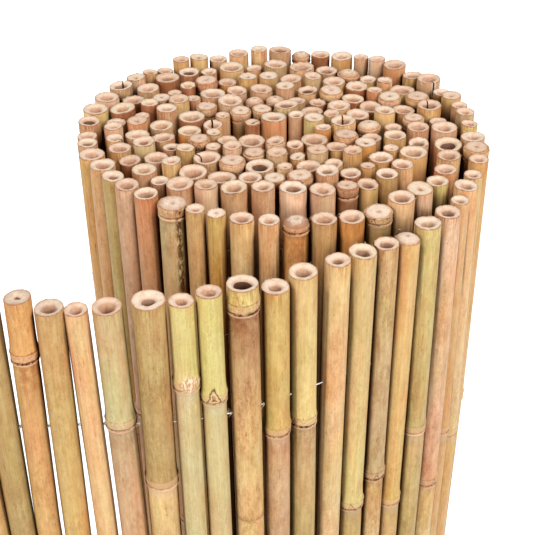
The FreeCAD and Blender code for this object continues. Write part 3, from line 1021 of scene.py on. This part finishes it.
def mix_skin():
    """Bamboo skin: fibres along the cane, mottling, node scars, stains, painted shade at the
    drilled holes and between canes.
    """
    skin = Recipe("bamboo_skin")
    node_gap, cut_gap, side = skin.parts("distances")
    stain, mottle, streak = skin.parts("character")
    from_bud, bud, size = skin.parts("bud")
    fibre = fibre_colour(skin)
    skin_marks(skin, mottle)
    scar, dirty = node_colour(skin, node_gap, stain)
    lift = skin.maths("DIVIDE", node_gap, size)
    bud_colour(skin, lift, skin.maths("DIVIDE", from_bud, size), bud)

    uneven = skin.grain((300, 300, 2), 2.0, place=skin.shifted(0.61))
    reach = skin.spread(uneven, 0.35, 0.65, 2.0, 15.0)
    near_cut = skin.spread(cut_gap, 0.5, reach, 1.0, 0.0)
    scratch = skin.times(skin.patches((900, 900, 14), 0.44, 0.6), near_cut)
    scratch = skin.times(scratch, skin.spread(mottle, 0.2, 0.7, 0.2, 1.0))
    skin.tint(scratch, (0.70, 0.50, 0.38))
    sawn_edge = skin.spread(cut_gap, 0.3, 1.2, 0.45, 0.0)
    skin.paint(sawn_edge, (0.76, 0.57, 0.43))
    mould = skin.patches((420, 420, 170), 0.43, 0.52, 4.0, 0.75)
    skin.tint(skin.times(mould, streak), (0.24, 0.14, 0.09))
    hole_colour(skin, side)
    # Painted shade: the skin darkens where the canes around close it in, and loses its sheen
    # there.
    crevice_shade = skin.spread(skin.parts("cut_share")[1], 0.36, 0.84)
    skin.tint(crevice_shade, (0.12, 0.08, 0.055))

    rough = skin.plus(skin.spread(fibre, 0.3, 0.7, 0.42, 0.56), skin.times(dirty, 0.15))
    shine = skin.spread(crevice_shade, 0.0, 0.6, 0.17, 0.0)
    skin.shade(Base_Color=skin.colour, Roughness=rough, Specular_IOR_Level=shine)
    skin.bump(skin.minus(fibre, skin.times(scar, 0.7)), 0.16 * MM, 0.8)


def fibre_colour(skin):
    """The cane's tint with fine fibres along it."""
    tint = skin.noted("skin_tint")["Color"]
    broad = skin.grain((520, 520, 14), 3.0)
    fine = skin.grain((2400, 2400, 40), 2.0)
    fibre = skin.plus(skin.times(broad, 0.5), skin.times(fine, 0.5))
    contrast = skin.spread(fibre, 0.36, 0.64)
    lines = skin.mix(contrast, (0.85, 0.81, 0.77), (1.06, 1.07, 1.08))
    skin.colour = skin.mix(1.0, tint, lines, "MULTIPLY")
    return fibre


def skin_marks(skin, mottle):
    """Drifts of warm, green and pink, clouds, scurf, specks and short dark dashes."""
    for grains, shift, least, most, factors in SKIN_MARKS:
        place = skin.shifted(shift) if shift else None
        share = skin.spread(mottle, 0.0, 1.0, least, most)
        for across, along, *numbers in grains:
            patch = skin.patches((across, across, along), *numbers, place=place)
            share = skin.times(patch, share)
        skin.tint(share, factors)


def node_colour(skin, node_gap, stain):
    """Scar line, lip, shoulder and the stain or bloom below them."""
    ragged = skin.wobble((900, 900, 500), 2.0, 1.6)
    gap = skin.plus(node_gap, ragged)
    cloudy = skin.patches((190, 190, 130), 0.34, 0.6, 4.0, 0.7)
    reach = skin.spread(stain, 0.4, 1.0, -16.0, -46.0)
    below = skin.band(gap, reach, -2.0, -2.2, -1.7)
    dirty = skin.times(skin.times(below, stain), cloudy)
    skin.tint(dirty, (0.66, 0.50, 0.42))
    bloom = skin.band(gap, -12.0, -2.2, -2.2, -1.7)
    bloom = skin.times(bloom, skin.minus(0.9, stain, clamp=True))
    skin.paint(skin.times(bloom, 0.5), (0.86, 0.80, 0.70))
    shoulder = skin.band(gap, 0.2, 1.2, 5.2, 6.6)
    skin.paint(skin.times(shoulder, 0.5), (0.89, 0.72, 0.56))
    spots = skin.patches((520, 520, 420), 0.46, 0.66, 4.0, 0.75)
    spots = skin.times(skin.times(spots, shoulder), stain)
    skin.tint(spots, (0.66, 0.48, 0.40))
    lip = skin.times(skin.hump(gap, -1.6, 1.5), 0.85)
    skin.paint(lip, (0.91, 0.73, 0.58))
    broken = skin.spread(skin.grain((420, 420, 420), 3.0), 0.36, 0.56, 0.25, 1.0)
    ridge = skin.times(skin.hump(gap, 6.5, 0.8), skin.times(broken, stain))
    skin.tint(ridge, (0.42, 0.28, 0.21))
    scar = skin.times(skin.hump(gap, -0.1, 1.1), skin.spread(stain, 0.1, 0.9, 0.7, 1.3))
    line = skin.mix(skin.spread(stain, 0.2, 0.9), (0.33, 0.13, 0.07), (0.085, 0.022, 0.01))
    skin.colour = skin.mix(skin.times(scar, broken, True), skin.colour, line)
    return scar, dirty


def bud_colour(skin, node_gap, from_bud, bud):
    """A triangular bud scar above the node, brown with a dark edge, or a pale torn star."""
    inside = skin.minus(skin.times(skin.minus(8.4, node_gap), 0.3), from_bud)
    inside = skin.maths("MINIMUM", inside, skin.minus(node_gap, 0.2))
    uneven = skin.wobble((420, 420, 300), 3.0, 1.9)
    inside = skin.plus(inside, uneven)
    dark = skin.times(skin.spread(inside, 0.0, 0.3), bud, clamp=True)
    skin.paint(skin.times(dark, 0.7), (0.88, 0.72, 0.54))
    core = skin.times(skin.spread(inside, 0.9, 1.3), bud, clamp=True)
    skin.paint(core, (0.50, 0.31, 0.20))
    edge = skin.times(skin.hump(inside, 0.2, 0.45), bud, clamp=True)
    skin.paint(edge, (0.33, 0.18, 0.12))
    torn = skin.wobble((1500, 1500, 900), 3.0, 9.0)
    away = skin.plus(skin.maths("ABSOLUTE", skin.minus(node_gap, 2.5)), from_bud)
    pale = skin.spread(skin.plus(away, torn), 2.0, 4.2, 1.0, 0.0)
    pale = skin.times(pale, skin.times(bud, -1.0), clamp=True)
    strand = skin.patches((1000, 1000, 160), 0.44, 0.56, 2.0)
    torn_wood = skin.mix(strand, linear((0.78, 0.58, 0.43)), linear((0.95, 0.86, 0.72)))
    skin.colour = skin.mix(pale, skin.colour, torn_wood)


def hole_colour(skin, side):
    """A dark hole at each wire, painted shade in place of a drilled hole, with torn pale wood
    round it.
    """
    place = skin.node("ShaderNodeSeparateXYZ", {0: skin.place}).outputs
    above = skin.minus(place["Z"], WIRE_LEVEL - 3 * WIRE_SPACING)
    level = skin.maths("DIVIDE", skin.maths("PINGPONG", above, WIRE_SPACING / 2), MM)
    squares = [skin.maths("POWER", away, 2.0) for away in (side, level)]
    hole = skin.maths("SQRT", skin.plus(*squares))
    torn = skin.plus(hole, skin.times(skin.grain((1200, 1200, 500), 2.0), 1.6))
    skin.paint(skin.spread(torn, 1.9, 2.5, 0.9, 0.0), (0.93, 0.83, 0.66))
    # Painted shade: a near-black disc where the hole is drilled.
    skin.paint(skin.spread(hole, 0.8, 1.0, 1.0, 0.0), (0.12, 0.07, 0.04))


def mix_cut_end():
    """Sawn bamboo: cream wood with fibre ends that crowd towards a darker skin line."""
    cut = Recipe("bamboo_cut_end")
    share = cut.parts("cut_share")[0]
    uneven = cut.wobble((420, 420, 420), 3.0, 0.22)
    rough_share = cut.plus(share, uneven)
    cut.colour = cut.ramp(rough_share, (
        (0.0, (0.84, 0.69, 0.58)), (0.1, (0.90, 0.78, 0.68)), (0.34, (0.935, 0.86, 0.775)),
        (0.76, (0.925, 0.845, 0.75)), (0.9, (0.86, 0.72, 0.60)), (1.0, (0.68, 0.48, 0.37))))
    weathered = cut.parts("cut_share")[2]
    crust = cut.plus(share, cut.times(cut.grain((330, 330, 330), 5.0, 0.75), 1.6))
    crust = cut.times(cut.spread(crust, 1.1, 1.5), weathered)
    cut.paint(crust, (0.70, 0.50, 0.38))
    cut.colour = cut.mix(1.0, cut.colour, cut.noted("cut_tint")["Color"], "MULTIPLY")
    cells = cut.node("ShaderNodeTexVoronoi", {"Vector": cut.place, "Scale": 1500.0}, feature="F1")
    dots = cut.spread(cells.outputs["Distance"], 0.16, 0.36, 1.0, 0.0)
    dots = cut.times(dots, cut.spread(share, 0.25, 0.95, 0.1, 0.5))
    cut.tint(dots, (0.78, 0.62, 0.50))
    grime = cut.patches((240, 240, 240), 0.46, 0.66, 4.0, 0.7)
    cut.tint(cut.times(grime, 0.8), (0.83, 0.70, 0.62))
    saw = cut.grain((300, 2600, 300), 2.0)
    cut.tint(cut.times(saw, 0.25), (0.90, 0.84, 0.80))
    cut.shade(Base_Color=cut.colour, Roughness=0.78, Specular_IOR_Level=0.25)
    cut.bump(cut.plus(saw, cut.times(dots, -0.8)), 0.1 * MM, 0.6)


def mix_bore():
    """The hollow of a cane: pinkish tan wood, with painted shade that darkens it with depth."""
    bore = Recipe("bamboo_bore")
    cut_gap = bore.parts("distances")[1]
    shade = bore.parts("character")[2]
    # Painted shade: the colour darkens down the bore.
    bore.colour = bore.ramp(bore.spread(cut_gap, 0.0, 24.0), (
        (0.0, (0.87, 0.73, 0.62)), (0.1, (0.90, 0.77, 0.66)), (0.24, (0.84, 0.68, 0.56)),
        (0.5, (0.60, 0.44, 0.35)), (1.0, (0.38, 0.27, 0.21))))
    stained = bore.patches((260, 260, 120), 0.44, 0.62, 4.0, 0.7)
    bore.tint(stained, (0.84, 0.74, 0.66))
    streak = bore.patches((900, 900, 40), 0.35, 0.65, 3.0)
    bore.tint(streak, (0.88, 0.82, 0.77))
    dark = bore.minus(1.0, shade, clamp=True)
    bore.tint(dark, (0.20, 0.14, 0.12))
    bore.shade(Base_Color=bore.colour, Roughness=0.7, Specular_IOR_Level=0.25)
    bore.bump(streak, 0.1 * MM, 0.4)


def mix_wire():
    """Galvanised wire: dull zinc with fine drawn lines and cloudy patches."""
    wire = Recipe("galvanised_wire")
    zinc = tuple(bpy.context.scene.wire_settings.colour)
    cloud = wire.patches((500, 500, 500), 0.35, 0.7, 3.0)
    colour = wire.mix(cloud, zinc, tuple(0.7 * c for c in zinc))
    rough = wire.spread(cloud, 0.0, 1.0, 0.28, 0.46)
    wire.shade(Base_Color=colour, Metallic=0.6, Roughness=rough)
    wire.bump(wire.grain((2600, 2600, 2600), 1.0), 0.03 * MM, 0.4)


def mix_fibre():
    """Torn fibres: pale, dry and slightly uneven in colour."""
    fibre = Recipe("torn_fibre")
    pale = tuple(bpy.context.scene.fibre_settings.colour)
    share = fibre.patches((900, 900, 900), 0.35, 0.65)
    colour = fibre.mix(share, pale, tuple(0.7 * c for c in pale))
    fibre.shade(Base_Color=colour, Roughness=0.8)


def mix_floor():
    """Plain floor that the camera sees as white, with the panel's shadow kept."""
    floor = Recipe("plain_floor")
    backdrop = tuple(bpy.context.scene.stage_settings.backdrop)
    floor.shade(
        Base_Color=(0.82, 0.82, 0.82, 1.0), Roughness=0.9, Emission_Color=(*backdrop, 1.0),
        Emission_Strength=floor.times(floor.seen(), 0.75))


class FENCE_OT_mix_finishes(bpy.types.Operator):
    """Make the bamboo, wire, fibre and floor finishes"""
    bl_idname = "fence.mix_finishes"
    bl_label = "Mix Finishes"

    def execute(self, context):
        for mix in (mix_skin, mix_cut_end, mix_bore, mix_wire, mix_fibre, mix_floor):
            mix()
        return {"FINISHED"}


class FENCE_OT_model_patterns(bpy.types.Operator):
    """Turn up the two pattern canes that all canes are copied from"""
    bl_idname = "fence.model_patterns"
    bl_label = "Model Pattern Canes"

    def execute(self, context):
        for node, canes in CANES.items():
            for cane in canes:
                vars(cane).update(cane_look(cane, node))
        model_pattern("fine_pattern", CANES[SAMPLE][0], False)
        model_pattern("light_pattern", CANES[SAMPLE][0], True)
        return {"FINISHED"}


class FENCE_OT_string_tail(bpy.types.Operator):
    """Make the canes of the unrolled end"""
    bl_idname = "fence.string_tail"
    bl_label = "String Unrolled End"

    def execute(self, context):
        string_singles("tail_cane")
        return {"FINISHED"}


class FENCE_OT_string_outer_turn(bpy.types.Operator):
    """Make the canes of the roll's outer turn"""
    bl_idname = "fence.string_outer_turn"
    bl_label = "String Outer Turn"

    def execute(self, context):
        string_singles("outer_turn")
        return {"FINISHED"}


class FENCE_OT_string_inner_turns(bpy.types.Operator):
    """Make the canes of the turns inside the roll"""
    bl_idname = "fence.string_inner_turns"
    bl_label = "String Inner Turns"

    def execute(self, context):
        string_hidden_turns()
        return {"FINISHED"}


class FENCE_OT_clear_patterns(bpy.types.Operator):
    """Remove the pattern canes once all canes are copied"""
    bl_idname = "fence.clear_patterns"
    bl_label = "Clear Pattern Canes"

    def execute(self, context):
        for name in ("fine_pattern", "light_pattern"):
            bpy.data.objects.remove(bpy.data.objects[name])
        return {"FINISHED"}


class FENCE_OT_tear_fibres(bpy.types.Operator):
    """Add torn fibres at the drilled holes and ragged rims"""
    bl_idname = "fence.tear_fibres"
    bl_label = "Tear Fibres"

    def execute(self, context):
        tear_fibres()
        return {"FINISHED"}


class FENCE_OT_dress_wires(bpy.types.Operator):
    """Give the wires their zinc finish"""
    bl_idname = "fence.dress_wires"
    bl_label = "Dress Wires"

    def execute(self, context):
        for name in WIRES:
            for slot in frame["nodes"][name].material_slots:
                slot.material = bpy.data.materials["galvanised_wire"]
        return {"FINISHED"}


class FENCE_OT_set_stage(bpy.types.Operator):
    """Lay the floor, hang the lamps and set up the camera"""
    bl_idname = "fence.set_stage"
    bl_label = "Set Stage"

    def execute(self, context):
        settings = context.scene.stage_settings
        deselect_all()
        bpy.ops.mesh.primitive_plane_add(size=FLOOR_WIDTH, location=FLOOR_MIDDLE)
        floor = bpy.context.object
        floor.name = "plain_floor"
        bpy.ops.object.transform_apply()
        floor.data.materials.append(bpy.data.materials["plain_floor"])
        for name, (place, width, power) in LAMPS.items():
            add_lamp(name, place, width, getattr(settings, power))
        light_sky(settings)
        add_camera()
        return {"FINISHED"}


def add_lamp(name, location, width, power):
    data = bpy.data.lights.new(name, "AREA")
    data.size = width
    data.energy = power
    lamp = add_object(name, data)
    lamp.location = location
    towards = Vector(LAMP_TARGET) - lamp.location
    lamp.rotation_euler = towards.to_track_quat("-Z", "Y").to_euler()


def light_sky(settings):
    """Even light from all round, with a plain backdrop for the camera."""
    sky = Recipe("even_sky", "worlds", "Background")
    bpy.context.scene.world = sky.owner
    strength = sky.spread(sky.seen(), 0.0, 1.0, settings.sky_strength, 1.0)
    sky.shade(Color=(*settings.backdrop, 1.0), Strength=strength)


def add_camera():
    data = bpy.data.cameras.new("camera")
    data.lens = LENS
    data.sensor_width = SENSOR_WIDTH
    camera = add_object("camera", data)
    camera.location = VIEWPOINT
    turn, tilt, roll = (
        Matrix.Rotation(math.radians(degrees), 3, axis)
        for degrees, axis in zip(CAMERA_TURNS, "ZXZ"))
    camera.rotation_euler = (turn @ tilt @ roll).to_euler()
    bpy.context.scene.camera = camera


class FENCE_PT_panel(bpy.types.Panel):
    bl_idname = "FENCE_PT_panel"
    bl_label = "Bamboo Fence Panel"
    bl_space_type = "VIEW_3D"
    bl_region_type = "UI"
    bl_category = "Fence Panel"

    def draw(self, context):
        for operator in OPERATORS:
            self.layout.operator(operator.bl_idname)
        for name in SETTINGS:
            group = getattr(context.scene, name)
            for key in group.__annotations__:
                self.layout.prop(group, key)


OPERATORS = (
    FENCE_OT_mix_finishes, FENCE_OT_model_patterns, FENCE_OT_string_tail,
    FENCE_OT_string_outer_turn, FENCE_OT_string_inner_turns, FENCE_OT_clear_patterns,
    FENCE_OT_tear_fibres, FENCE_OT_dress_wires, FENCE_OT_set_stage,
)
SETTINGS = {
    "cane_settings": CaneSettings, "fibre_settings": FibreSettings, "wire_settings": WireSettings,
    "stage_settings": StageSettings,
}
CANES = {node: read_canes(node) for node in sorted(frame["nodes"]) if node not in WIRES}


def register():
    for group in (*SETTINGS.values(), *OPERATORS, FENCE_PT_panel):
        bpy.utils.register_class(group)
    for name, group in SETTINGS.items():
        setattr(bpy.types.Scene, name, PointerProperty(type=group))


def unregister():
    for name in SETTINGS:
        delattr(bpy.types.Scene, name)
    for group in reversed((*SETTINGS.values(), *OPERATORS, FENCE_PT_panel)):
        bpy.utils.unregister_class(group)


def main():
    register()
    bpy.context.scene.view_settings.view_transform = "Standard"
    bpy.ops.fence.mix_finishes()
    bpy.ops.fence.model_patterns()
    bpy.ops.fence.string_tail()
    bpy.ops.fence.string_outer_turn()
    bpy.ops.fence.string_inner_turns()
    bpy.ops.fence.clear_patterns()
    bpy.ops.fence.tear_fibres()
    bpy.ops.fence.dress_wires()
    bpy.ops.fence.set_stage()


if __name__ == "__main__":
    main()
